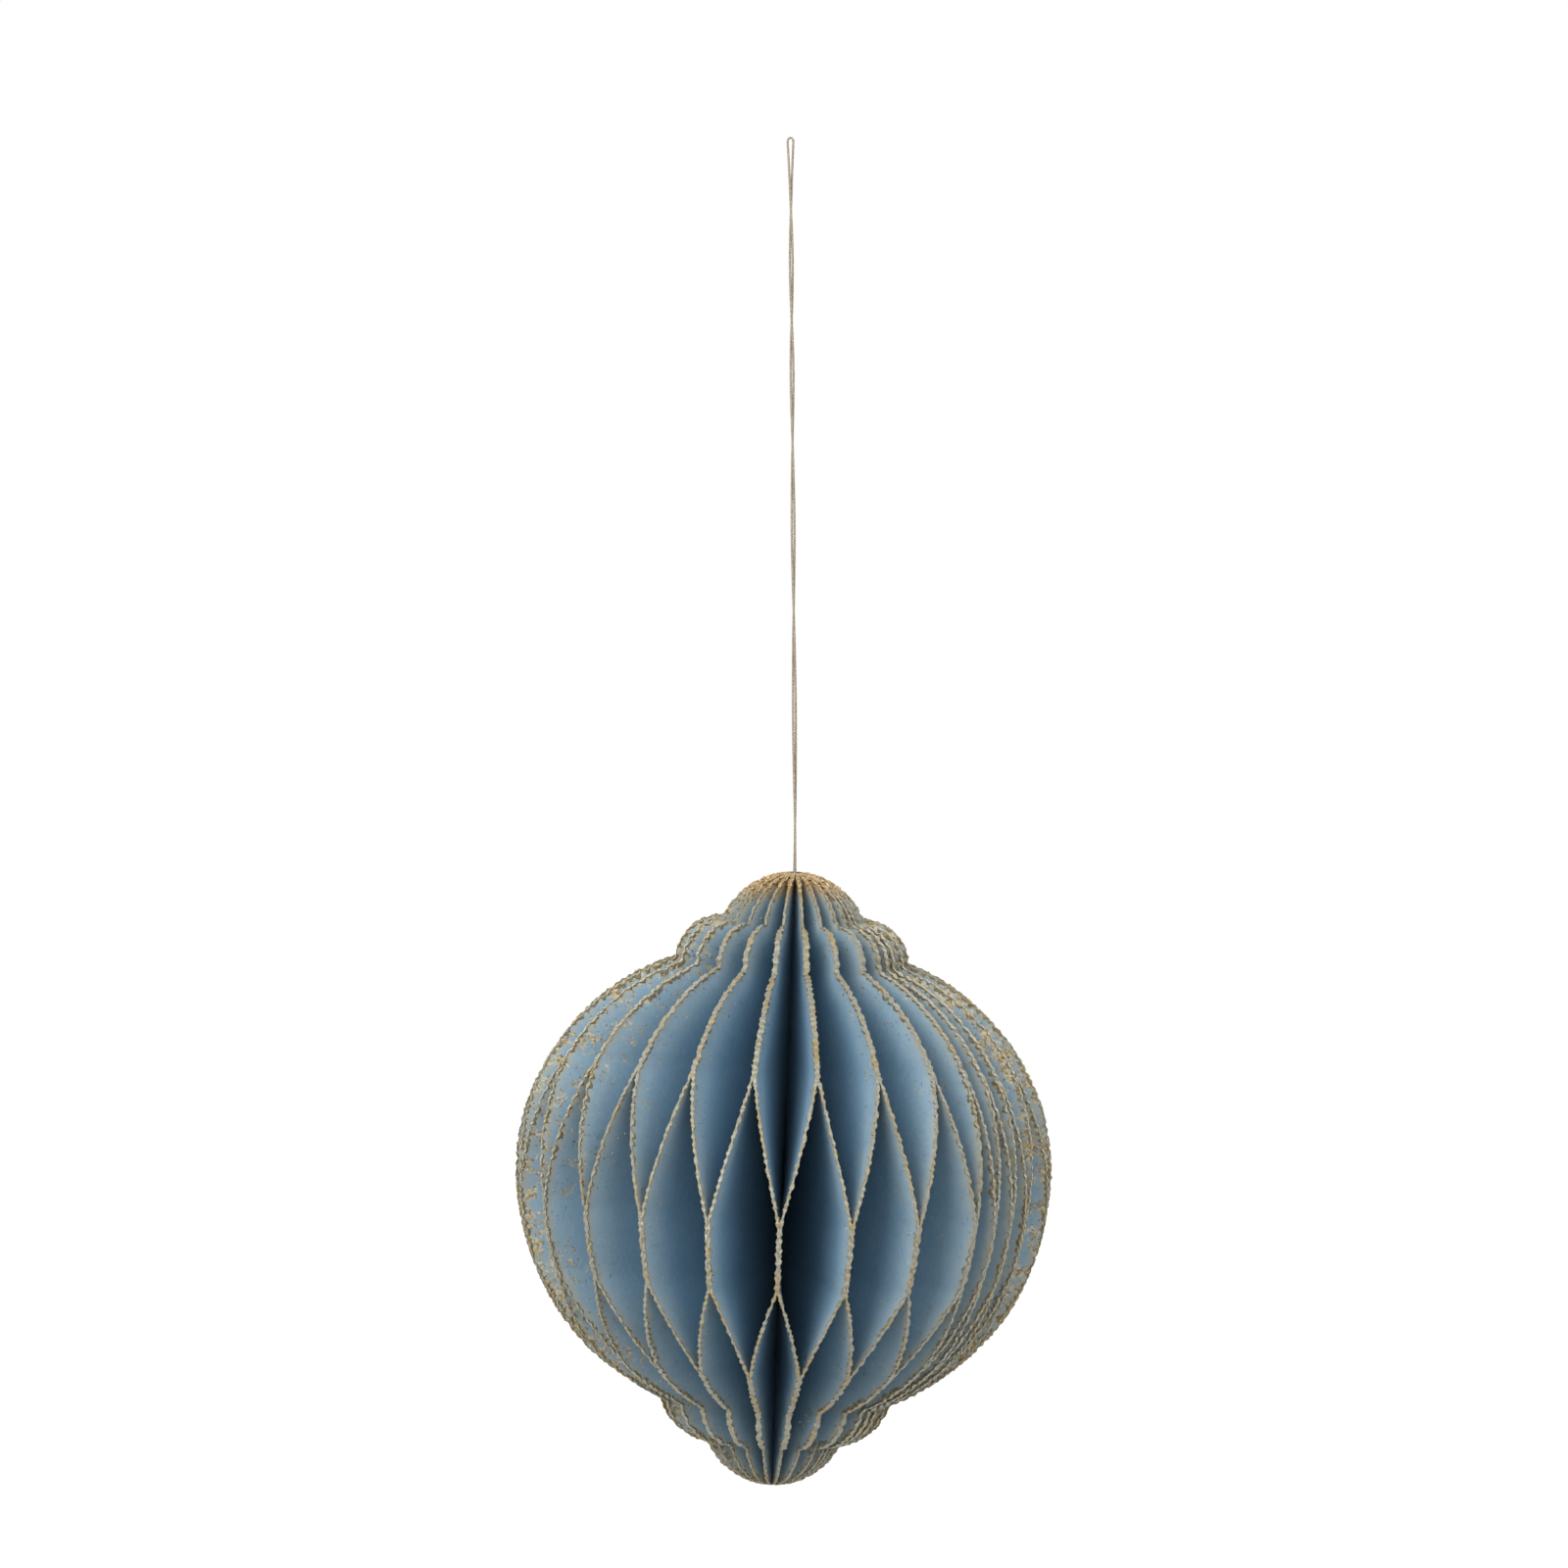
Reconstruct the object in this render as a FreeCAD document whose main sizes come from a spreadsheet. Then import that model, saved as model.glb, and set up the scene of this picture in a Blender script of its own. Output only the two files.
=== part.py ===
# A hanging paper bauble: fifty die-cut paper leaves stand round one upright axis and are glued to
# each other in turn, at the ends and at the waist, so that they open into cells. A doubled cord with
# a knot at its end carries them. Millimetres and degrees; the origin is the point where a hook bears
# inside the top of the cord loop, +Z is up, and the front faces -Y.
import FreeCAD, Part
import Sketcher
import math
import os

doc = FreeCAD.newDocument("paper_bauble")
UP = FreeCAD.Vector(0, 0, 1)
LEAN_AXIS = FreeCAD.Vector(0, 1, 0)

# Driving dimensions. Depths are measured down the body's own axis from the body's top, and heights
# up it from the body's bottom.
DIMENSIONS = [
    ("paper_thickness", 0.25),
    ("cell_count", 25),
    ("closed_cell_count", 3),
    ("closed_cell_angle", 6.3),
    ("first_open_cell_count", 3),
    ("first_cell_angle", -90.7),
    ("body_height", 172.0),
    ("ball_radius", 74.8),
    ("ball_widest_depth", 84.3),
    ("crown_radius", 19.8),
    ("crown_depth", 13.2),
    ("shoulder_radius", 32.4),
    ("shoulder_depth", 24.8),
    ("skirt_radius", 32.0),
    ("skirt_height", 23.9),
    ("skirt_rounding", 15.0),
    ("foot_radius", 18.8),
    ("foot_height", 12.2),
    ("upper_glue_depth", 51.0),
    ("waist_glue_depth", 90.5),
    ("waist_glue_length", 19.5),
    ("lower_glue_height", 36.5),
    ("trim_margin", 5.0),
    ("hang_lean", 2.2),
    ("cord_diameter", 0.7),
    ("cord_drop", 204.5),
    ("cord_drift", 1.4),
    ("knot_radius", 2.3),
    ("knot_depth", 14.0),
    ("knot_flat_radius", 1.1),
    ("knot_clearance", 0.1),
]
sizes = doc.addObject("Spreadsheet::Sheet", "sizes")
for row, (alias, value) in enumerate(DIMENSIONS, start=1):
    sizes.set(f"A{row}", alias)
    sizes.set(f"B{row}", str(value))
    sizes.setAlias(f"B{row}", alias)
doc.recompute()


# Sketches on a body's own origin planes
def new_sketch(body, name, role, offset="0"):
    """A sketch on one of the body's origin planes, moved along the plane's normal."""
    plane = next(item for item in body.Origin.OriginFeatures if item.Role == role)
    sketch = body.newObject("Sketcher::SketchObject", name)
    sketch.AttachmentSupport = [(plane, "")]
    sketch.MapMode = "FlatFace"
    sketch.setExpression("AttachmentOffset.Base.z", offset)
    return sketch


def clockwise_arc(start, end, radius):
    """The minor arc that runs clockwise from start to end."""
    chord = end - start
    rise = math.sqrt(max(radius**2 - chord.Length**2 / 4, 0.0))
    centre = (start + end) * 0.5 + FreeCAD.Vector(chord.y, -chord.x, 0).normalize() * rise
    first = math.atan2(end.y - centre.y, end.x - centre.x)
    last = math.atan2(start.y - centre.y, start.x - centre.x)
    return Part.ArcOfCircle(Part.Circle(centre, UP, radius), first, last + (2 * math.pi if last < first else 0))


def bind(sketch, kind, references, expression):
    """A sketch dimension that takes its value from an expression."""
    number = sketch.addConstraint(Sketcher.Constraint(kind, *references, sketch.evalExpression(expression)))
    sketch.setExpression(f"Constraints[{number}]", expression)


def draw_loop(sketch, corners, arc_radii):
    """A closed loop through corners given as expressions. An edge that has a radius is a clockwise arc."""
    places = [FreeCAD.Vector(sketch.evalExpression(u), sketch.evalExpression(v), 0) for u, v in corners]
    edges = []
    for number, start in enumerate(places):
        end = places[(number + 1) % len(places)]
        if number in arc_radii:
            edge = sketch.addGeometry(clockwise_arc(start, end, sketch.evalExpression(arc_radii[number])), False)
            edges.append((edge, 2, 1))
        else:
            edge = sketch.addGeometry(Part.LineSegment(start, end), False)
            edges.append((edge, 1, 2))
    for number, (edge, first_end, _) in enumerate(edges):
        edge_before, _, last_end = edges[number - 1]
        sketch.addConstraint(Sketcher.Constraint("Coincident", edge_before, last_end, edge, first_end))
        bind(sketch, "DistanceX", (-1, 1, edge, first_end), corners[number][0])
        bind(sketch, "DistanceY", (-1, 1, edge, first_end), corners[number][1])
    for number, expression in arc_radii.items():
        bind(sketch, "Radius", (edges[number][0],), expression)


# The leaf's outline: crown, shoulder, ball, skirt and foot, with a step at each corner
def upright_arc(widest_radius, widest_depth, end_radius, end_depth):
    """The radius of the arc that is upright at its widest point and passes through its end."""
    across = f"({widest_radius} - {end_radius})"
    down = f"({widest_depth} - {end_depth})"
    return f"({across}^2 + {down}^2) / (2 * {across})"


def pole_arc(radius, height):
    """The radius of the arc that lies level on the axis and passes through a corner."""
    return f"({radius}^2 + {height}^2) / (2 * {height})"


CROWN = ("sizes.crown_radius", "sizes.crown_depth")
SHOULDER = ("sizes.shoulder_radius", "sizes.shoulder_depth")
BALL = ("sizes.ball_radius", "sizes.ball_widest_depth")
SKIRT = ("sizes.skirt_radius", "(sizes.body_height - sizes.skirt_height)")
FOOT = ("sizes.foot_radius", "(sizes.body_height - sizes.foot_height)")
OUTLINE_CORNERS = [("0", "0")]
OUTLINE_CORNERS += [(radius, f"-{depth}") for radius, depth in (CROWN, SHOULDER, BALL, SKIRT, FOOT)]
OUTLINE_CORNERS.append(("0", "-sizes.body_height"))
OUTLINE_ARCS = {
    0: pole_arc(*CROWN),
    1: upright_arc(*SHOULDER, *CROWN),
    2: upright_arc(*BALL, *SHOULDER),
    3: upright_arc(*BALL, *SKIRT),
    4: "sizes.skirt_rounding",
    5: pole_arc("sizes.foot_radius", "sizes.foot_height"),
}
BLANK_CORNERS = [
    ("-sizes.trim_margin", "sizes.trim_margin"),
    ("sizes.ball_radius + sizes.trim_margin", "sizes.trim_margin"),
    ("sizes.ball_radius + sizes.trim_margin", "-sizes.body_height - sizes.trim_margin"),
    ("-sizes.trim_margin", "-sizes.body_height - sizes.trim_margin"),
]

# Where a leaf changes sides, from its top edge to its bottom edge: +1 lies against the neighbour on
# one side, -1 against the neighbour on the other side.
LEVELS = [
    ("sizes.trim_margin", 1),
    ("-sizes.upper_glue_depth", 1),
    ("-sizes.waist_glue_depth", -1),
    ("-sizes.waist_glue_depth - sizes.waist_glue_length", -1),
    ("-sizes.body_height + sizes.lower_glue_height", 1),
    ("-sizes.body_height - sizes.trim_margin", 1),
]

OPEN_CELL_ANGLE = (
    "((360 - sizes.closed_cell_count * sizes.closed_cell_angle)"
    " / (sizes.cell_count - sizes.closed_cell_count))"
)
CLOSED_CELL_ANGLE = "sizes.closed_cell_angle"


def core_reach(cell_angle):
    """The distance from the axis at which leaves side by side touch each other."""
    return f"(sizes.paper_thickness / 2 / tan({cell_angle} / 4))"


def draw_band(sketch, reach, cell_angle, side):
    """The cut across a leaf at one distance from the axis, as thick as the paper."""
    half_thickness = "sizes.paper_thickness / 2"
    one_face = []
    other_face = []
    for level, lay in LEVELS:
        middle = f"{side * lay} * ({reach} * tan({cell_angle} / 4) - {half_thickness})"
        one_face.append((f"{middle} + {half_thickness}", level))
        other_face.append((f"{middle} - {half_thickness}", level))
    draw_loop(sketch, one_face + other_face[::-1], {})


def leaf_pattern(name, cell_angle, side):
    """A leaf upright on the XZ plane, its spine along the axis and its top corner at the origin."""
    body = doc.addObject("PartDesign::Body", name)
    core = core_reach(cell_angle)
    edge = "(sizes.ball_radius + sizes.trim_margin)"
    spine = new_sketch(body, f"{name}_spine", "YZ_Plane", core)
    draw_band(spine, core, cell_angle, side)
    rim = new_sketch(body, f"{name}_rim", "YZ_Plane", edge)
    draw_band(rim, edge, cell_angle, side)
    sheet = body.newObject("PartDesign::AdditiveLoft", f"{name}_sheet")
    sheet.Profile = spine
    sheet.Sections = [(rim, [""])]
    sheet.Ruled = True
    outline = new_sketch(body, f"{name}_outline", "XZ_Plane")
    draw_loop(outline, BLANK_CORNERS, {})
    draw_loop(outline, OUTLINE_CORNERS, OUTLINE_ARCS)
    cut_through(body, outline, f"{name}_cut")
    if sizes.evalExpression(core) < sizes.knot_radius + sizes.knot_clearance:
        notch = new_sketch(body, f"{name}_notch", "XZ_Plane")
        circle = notch.addGeometry(Part.Circle(FreeCAD.Vector(0, -sizes.knot_depth, 0), UP, sizes.knot_radius))
        bind(notch, "DistanceX", (-1, 1, circle, 3), "0")
        bind(notch, "DistanceY", (-1, 1, circle, 3), "-sizes.knot_depth")
        bind(notch, "Radius", (circle,), "sizes.knot_radius + sizes.knot_clearance")
        cut_through(body, notch, f"{name}_notch_cut")
    return body


def cut_through(body, sketch, name):
    """A cut through the whole leaf, both ways from its middle plane."""
    cut = body.newObject("PartDesign::Pocket", name)
    cut.Profile = sketch
    cut.Type = "ThroughAll"
    cut.SideType = "Symmetric"
    return cut


patterns = {
    ("open", 1): leaf_pattern("open_leaf_even", OPEN_CELL_ANGLE, 1),
    ("open", -1): leaf_pattern("open_leaf_odd", OPEN_CELL_ANGLE, -1),
    ("closed", 1): leaf_pattern("closed_leaf_even", CLOSED_CELL_ANGLE, 1),
    ("closed", -1): leaf_pattern("closed_leaf_odd", CLOSED_CELL_ANGLE, -1),
}
doc.recompute()

# The hung body leans a little about the place where the cord enters it
entry = FreeCAD.Vector(sizes.cord_drift, 0, -sizes.cord_drop)
body_place = FreeCAD.Placement(entry, FreeCAD.Rotation(LEAN_AXIS, sizes.hang_lean))

# Fifty leaves in a ring from the front round to the right. Each has half a cell and stands mid-way in it.
parts = []
leaf_angles = {
    "open": sizes.evalExpression(OPEN_CELL_ANGLE) / 2,
    "closed": sizes.evalExpression(CLOSED_CELL_ANGLE) / 2,
}
first_closed = sizes.first_open_cell_count
angle = sizes.first_cell_angle
for cell in range(sizes.cell_count):
    kind = "closed" if first_closed <= cell < first_closed + sizes.closed_cell_count else "open"
    for side in (1, -1):
        leaf = doc.addObject("PartDesign::Body", f"leaf_{len(parts) + 1:02d}")
        leaf.BaseFeature = patterns[kind, side]
        middle = FreeCAD.Rotation(UP, angle + leaf_angles[kind] / 2)
        leaf.Placement = body_place * FreeCAD.Placement(FreeCAD.Vector(), middle)
        parts.append(leaf)
        angle += leaf_angles[kind]

# The knot in the cord's two ends, caught in the notches of the leaves
knot = doc.addObject("PartDesign::Body", "cord_knot")
profile = new_sketch(knot, "knot_profile", "XZ_Plane")
KNOT_SHOULDER = "sqrt(sizes.knot_radius^2 - sizes.knot_flat_radius^2)"
draw_loop(
    profile,
    [
        ("0", f"-sizes.knot_depth + {KNOT_SHOULDER}"),
        ("sizes.knot_flat_radius", f"-sizes.knot_depth + {KNOT_SHOULDER}"),
        ("sizes.knot_radius", "-sizes.knot_depth"),
        ("0", "-sizes.knot_depth - sizes.knot_radius"),
    ],
    {1: "sizes.knot_radius", 2: "sizes.knot_radius"},
)
turned = knot.newObject("PartDesign::Revolution", "knot_turned")
turned.Profile = profile
turned.ReferenceAxis = (profile, ["V_Axis"])
turned.Angle = 360
knot.Placement = body_place
parts.append(knot)

# The cord: one length doubled into a loop, its two strands wound loosely round each other. A fold row
# has the depth below the loop's top in cord diameters, the angle that the pair has turned, and how far a
# strand lies from the middle, in cord diameters too. A twist row has a share of the drop and an angle.
FOLD_ROWS = [
    (-0.5, 0, 0.47),
    (0.17, 0, 1.14),
    (2.0, 4, 1.1),
    (5.4, 12, 0.94),
    (11.4, 30, 0.76),
    (19.3, 58, 0.64),
]
TWIST_ROWS = [
    (0.098, 90),
    (0.132, 135),
    (0.169, 180),
    (0.208, 225),
    (0.247, 270),
    (0.281, 315),
    (0.318, 360),
    (0.362, 405),
    (0.411, 450),
    (0.469, 495),
    (0.528, 540),
    (0.584, 585),
    (0.641, 630),
    (0.709, 675),
    (0.782, 720),
    (0.861, 765),
    (0.934, 810),
]
PAIR_SPREAD = 0.6
ENTRY_ANGLE = 840
BEND_SHARE = 0.45

strand_offset = PAIR_SPREAD * sizes.cord_diameter
knot_top = sizes.knot_depth - sizes.evalExpression(KNOT_SHOULDER)
rows = [(depth * sizes.cord_diameter, angle, reach * sizes.cord_diameter) for depth, angle, reach in FOLD_ROWS]
rows += [(share * sizes.cord_drop, angle, strand_offset) for share, angle in TWIST_ROWS]
rows.append((sizes.cord_drop + knot_top / 2, ENTRY_ANGLE, strand_offset))
rows.append((sizes.cord_drop + knot_top, ENTRY_ANGLE, strand_offset))


def strand_point(depth, angle, reach, side):
    """A point of one strand: down the hanging line, then down the body's leaning axis."""
    across = FreeCAD.Rotation(UP, angle).multVec(FreeCAD.Vector(reach * side, 0, 0))
    if depth > sizes.cord_drop:
        return body_place.multVec(across + FreeCAD.Vector(0, 0, sizes.cord_drop - depth))
    return entry * (depth / sizes.cord_drop) + across


left_strand = [strand_point(*row, -1) for row in rows]
right_strand = [strand_point(*row, 1) for row in rows]
route = left_strand[::-1] + right_strand


def rounded_path(points):
    """Straight runs joined by tangent arcs, each as large as its two runs allow."""
    edges = []
    radii = []
    start = points[0]
    for before, corner, after in zip(points, points[1:], points[2:]):
        arriving = corner - before
        leaving = after - corner
        half_turn = arriving.getAngle(leaving) / 2
        cut_back = BEND_SHARE * min(arriving.Length, leaving.Length)
        radius = cut_back / math.tan(half_turn)
        arriving.normalize()
        leaving.normalize()
        arc_start = corner - arriving * cut_back
        arc_end = corner + leaving * cut_back
        inward = (leaving - arriving).normalize()
        arc_middle = corner + inward * (radius / math.cos(half_turn) - radius)
        edges.append(Part.LineSegment(start, arc_start).toShape())
        edges.append(Part.Arc(arc_start, arc_middle, arc_end).toShape())
        radii.append(radius)
        start = arc_end
    edges.append(Part.LineSegment(start, points[-1]).toShape())
    return Part.Wire(edges), radii


path, bend_radii = rounded_path(route)
section = Part.Wire(Part.Circle(route[0], route[1] - route[0], sizes.cord_diameter / 2).toShape())
cord = doc.addObject("Part::Feature", "hanging_cord")
cord.Shape = path.makePipeShell([section], True, False)
parts.append(cord)
ideal_volume = math.pi * (sizes.cord_diameter / 2) ** 2 * path.Length
print(f"cord length {path.Length:.1f}, volume {cord.Shape.Volume:.2f}, section times length {ideal_volume:.2f}")
print("cord bend radii", " ".join(f"{radius:.1f}" for radius in bend_radii))

# Check every object, then write one file for each piece
doc.recompute()
for item in doc.Objects:
    if "Invalid" in item.State or "Error" in item.State:
        raise RuntimeError(f"{item.Label} failed: {item.State}")
for part in parts:
    if part.Shape.isNull() or not part.Shape.isValid():
        raise RuntimeError(f"{part.Label} has no valid shape")
os.makedirs("parts", exist_ok=True)
for part in parts:
    part.Shape.exportStep(f"parts/{part.Label}.step")
print(f"{len(parts)} pieces, leaf {parts[0].Shape.Volume:.1f}, knot {knot.Shape.Volume:.1f}")
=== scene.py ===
import math

import bpy
from mathutils import Matrix, Vector


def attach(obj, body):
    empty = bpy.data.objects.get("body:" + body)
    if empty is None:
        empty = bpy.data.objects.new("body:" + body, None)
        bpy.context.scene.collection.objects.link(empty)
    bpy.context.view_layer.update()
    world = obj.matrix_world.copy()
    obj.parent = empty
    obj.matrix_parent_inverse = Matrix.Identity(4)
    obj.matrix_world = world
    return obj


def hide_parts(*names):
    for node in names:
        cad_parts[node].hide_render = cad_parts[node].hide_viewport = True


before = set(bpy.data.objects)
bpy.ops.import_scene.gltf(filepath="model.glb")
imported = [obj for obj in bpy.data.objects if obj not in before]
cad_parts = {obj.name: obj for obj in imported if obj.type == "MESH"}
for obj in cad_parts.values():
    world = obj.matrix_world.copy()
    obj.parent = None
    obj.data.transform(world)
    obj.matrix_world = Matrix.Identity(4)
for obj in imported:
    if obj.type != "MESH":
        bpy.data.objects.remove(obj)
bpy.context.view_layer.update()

# The studio: a hanging bauble in front of white paper. Wide soft lamps stand at both sides, the left one
# stronger, with a weak lamp in front and two more behind. The camera stands a little above the ball's
# middle and looks along +Y.
PICTURE_CENTRE = Vector((-0.0018, 0.0, -0.1798))
PICTURE_WIDTH = 0.4368
CAMERA_DISTANCE = 5.0
CAMERA_ELEVATION = math.radians(5.3)
SENSOR_WIDTH = 36.0
FLOOR_HEIGHT = -0.95
STUDIO_SIZE = 12.0

scene = bpy.context.scene
scene.view_settings.view_transform = "Standard"


def aim_at(item, place, target):
    """Put an object at a place and point it at a target, upright."""
    item.location = place
    item.rotation_euler = (target - place).to_track_quat("-Z", "Y").to_euler()


camera_back = Vector((0.0, -math.cos(CAMERA_ELEVATION), math.sin(CAMERA_ELEVATION)))
camera_data = bpy.data.cameras.new("camera")
camera_data.sensor_width = SENSOR_WIDTH
camera_data.lens = SENSOR_WIDTH * CAMERA_DISTANCE / PICTURE_WIDTH
camera = bpy.data.objects.new("camera", camera_data)
scene.collection.objects.link(camera)
aim_at(camera, PICTURE_CENTRE + camera_back * CAMERA_DISTANCE, PICTURE_CENTRE)
scene.camera = camera

# Each lamp's place, width in metres and power in watts
BALL_MIDDLE = Vector((-0.0019, 0.0, -0.289))
LAMPS = {
    "front_lamp": (Vector((0.1, -2.2, 0.7)), 1.0, 7.0),
    "left_lamp": (Vector((-1.2, -1.7, 0.85)), 1.8, 68.0),
    "right_lamp": (Vector((1.25, -1.7, 0.85)), 1.8, 38.0),
    "back_left_lamp": (Vector((-1.3, 1.6, 0.6)), 1.8, 50.0),
    "back_right_lamp": (Vector((1.3, 1.6, 0.6)), 1.8, 46.0),
}
for name, (place, width, power) in LAMPS.items():
    lamp_data = bpy.data.lights.new(name, "AREA")
    lamp_data.size = width
    lamp_data.energy = power
    lamp = bpy.data.objects.new(name, lamp_data)
    scene.collection.objects.link(lamp)
    lamp.visible_camera = False
    aim_at(lamp, place, BALL_MIDDLE)


def place_node(tree, kind, sockets=(), **settings):
    """A node with its settings, whose inputs are other nodes' outputs or plain values."""
    node = tree.nodes.new(kind)
    for name, value in settings.items():
        setattr(node, name, value)
    for socket, value in dict(sockets).items():
        if isinstance(value, bpy.types.NodeSocket):
            tree.links.new(value, node.inputs[socket])
        else:
            node.inputs[socket].default_value = value
    return node


def seen_directly(tree):
    """1 where the camera sees a surface itself or in metal or glass."""
    ray = place_node(tree, "ShaderNodeLightPath").outputs
    either = place_node(
        tree, "ShaderNodeMath", {0: ray["Is Camera Ray"], 1: ray["Is Glossy Ray"]}, operation="MAXIMUM"
    )
    return place_node(
        tree, "ShaderNodeMath", {0: either.outputs[0], 1: ray["Is Transmission Ray"]}, operation="MAXIMUM"
    ).outputs[0]


# Only the camera sees the backdrop at full brightness: the ball gets little light from it
AMBIENT_LIGHT = 0.08
WHITE = (1.0, 1.0, 1.0, 1.0)
world = bpy.data.worlds.new("white_studio")
world.use_nodes = True
scene.world = world
backdrop_light = world.node_tree.nodes["Background"]
backdrop_light.inputs["Color"].default_value = WHITE
strength = place_node(
    world.node_tree,
    "ShaderNodeMapRange",
    {"Value": seen_directly(world.node_tree), "To Min": AMBIENT_LIGHT, "To Max": 1.0},
)
world.node_tree.links.new(strength.outputs[0], backdrop_light.inputs["Strength"])

FLOOR_COLOUR = (0.5, 0.5, 0.5, 1.0)
floor_mesh = bpy.data.meshes.new("floor")
half = STUDIO_SIZE / 2
floor_corners = [(-half, -half, 0), (half, -half, 0), (half, half, 0), (-half, half, 0)]
floor_mesh.from_pydata(floor_corners, [], [(0, 1, 2, 3)])
floor_mesh.transform(Matrix.Translation((0.0, 0.0, FLOOR_HEIGHT)))
floor = bpy.data.objects.new("floor", floor_mesh)
scene.collection.objects.link(floor)
floor_paper = bpy.data.materials.new("floor_paper")
floor_paper.use_nodes = True
floor_shader = floor_paper.node_tree.nodes["Principled BSDF"]
floor_shader.inputs["Base Color"].default_value = FLOOR_COLOUR
floor_shader.inputs["Roughness"].default_value = 1.0
floor_shader.inputs["Specular IOR Level"].default_value = 0.0
floor_shader.inputs["Emission Color"].default_value = WHITE
floor_paper.node_tree.links.new(
    seen_directly(floor_paper.node_tree), floor_shader.inputs["Emission Strength"]
)
floor_mesh.materials.append(floor_paper)

# The hanging cord: a thin cord of three metallised plies, doubled into a loop. Its two strands are wound
# loosely round each other and run down the middle of the ball, where a knot holds their ends.
MM = 0.001
CORD_DIAMETER = 0.7 * MM
CORD_DROP = 204.5 * MM
CORD_DRIFT = 1.4 * MM
CORD_ENTRY = Vector((CORD_DRIFT, 0.0, -CORD_DROP))
HANG_LEAN = math.radians(2.2)
KNOT_TOP = 11.98 * MM
PAIR_SPREAD = 0.6
ENTRY_ANGLE = 840
PLY_COUNT = 3.0
PLY_RADIUS = 0.47
PLY_BULGE = 0.045
LAY_LENGTH = 2.4 * MM
CORD_STEP = 0.28 * MM
CORD_SIDES = 15
SPLINE_STEPS = 40

# The loop's top: depth in cord diameters, turn in degrees, half the strands' spread in cord diameters
FOLD_ROWS = [
    (-0.5, 0, 0.47),
    (0.17, 0, 1.14),
    (2.0, 4, 1.1),
    (5.4, 12, 0.94),
    (11.4, 30, 0.76),
    (19.3, 58, 0.64),
]
# The strands down to the ball: share of the drop, turn in degrees
TWIST_ROWS = [
    (0.098, 90),
    (0.132, 135),
    (0.169, 180),
    (0.208, 225),
    (0.247, 270),
    (0.281, 315),
    (0.318, 360),
    (0.362, 405),
    (0.411, 450),
    (0.469, 495),
    (0.528, 540),
    (0.584, 585),
    (0.641, 630),
    (0.709, 675),
    (0.782, 720),
    (0.861, 765),
    (0.934, 810),
]
body_place = Matrix.Translation(CORD_ENTRY) @ Matrix.Rotation(HANG_LEAN, 4, "Y")
rows = [(depth * CORD_DIAMETER, angle, reach * CORD_DIAMETER) for depth, angle, reach in FOLD_ROWS]
rows += [(share * CORD_DROP, angle, PAIR_SPREAD * CORD_DIAMETER) for share, angle in TWIST_ROWS]
rows.append((CORD_DROP + KNOT_TOP / 2, ENTRY_ANGLE, PAIR_SPREAD * CORD_DIAMETER))
rows.append((CORD_DROP + KNOT_TOP, ENTRY_ANGLE, PAIR_SPREAD * CORD_DIAMETER))


def strand_point(depth, angle, reach, side):
    """A point of one strand: down the hanging line, then down the ball's leaning axis."""
    across = Matrix.Rotation(math.radians(angle), 3, "Z") @ Vector((reach * side, 0.0, 0.0))
    if depth > CORD_DROP:
        return body_place @ (across + Vector((0.0, 0.0, CORD_DROP - depth)))
    return CORD_ENTRY * (depth / CORD_DROP) + across


cord_route = [strand_point(*row, -1) for row in rows][::-1] + [strand_point(*row, 1) for row in rows]
cord_curve = bpy.data.curves.new("cord_line", "CURVE")
cord_curve.dimensions = "3D"
cord_curve.resolution_u = SPLINE_STEPS
cord_spline = cord_curve.splines.new("NURBS")
cord_spline.points.add(len(cord_route) - 1)
for control, place in zip(cord_spline.points, cord_route):
    control.co = (*place, 1.0)
cord_spline.order_u = 3
cord_spline.use_endpoint_u = True
cord_line = bpy.data.objects.new("cord_line", cord_curve)
cord_line_mesh = bpy.data.meshes.new_from_object(cord_line)


def new_tree(name, inputs):
    """A geometry node tree with named inputs, its input sockets and its output socket."""
    tree = bpy.data.node_groups.new(name, "GeometryNodeTree")
    tree.interface.new_socket("Geometry", in_out="INPUT", socket_type="NodeSocketGeometry")
    tree.interface.new_socket("Geometry", in_out="OUTPUT", socket_type="NodeSocketGeometry")
    for label, kind in inputs.items():
        tree.interface.new_socket(label, in_out="INPUT", socket_type="NodeSocket" + kind)
    given = tree.nodes.new("NodeGroupInput").outputs
    made = tree.nodes.new("NodeGroupOutput").inputs["Geometry"]
    return tree, given, made


def math_of(tree, operation, *values):
    """The result of a sum on other outputs and plain numbers."""
    return place_node(tree, "ShaderNodeMath", dict(enumerate(values)), operation=operation).outputs[0]


def grow_mesh(name, base_mesh, tree, values):
    """Run a tree on a mesh and keep the result as a plain mesh of its own."""
    base = bpy.data.objects.new(name + "_base", base_mesh)
    scene.collection.objects.link(base)
    growth = base.modifiers.new(tree.name, "NODES")
    growth.node_group = tree
    for item in tree.interface.items_tree:
        if item.in_out == "INPUT" and item.name in values:
            growth[item.identifier] = values[item.name]
    evaluated = base.evaluated_get(bpy.context.evaluated_depsgraph_get())
    mesh = bpy.data.meshes.new_from_object(evaluated)
    mesh.name = name
    base.modifiers.remove(growth)
    bpy.data.objects.remove(base)
    return mesh


def add_piece(name, mesh):
    """A finished piece on the ball's one body."""
    piece = bpy.data.objects.new(name, mesh)
    scene.collection.objects.link(piece)
    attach(piece, "root")
    return piece


def new_material(name, roughness):
    """A material with its node tree and its main shader."""
    material = bpy.data.materials.new(name)
    material.use_nodes = True
    shader = material.node_tree.nodes["Principled BSDF"]
    shader.inputs["Roughness"].default_value = roughness
    return material, material.node_tree, shader


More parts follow.
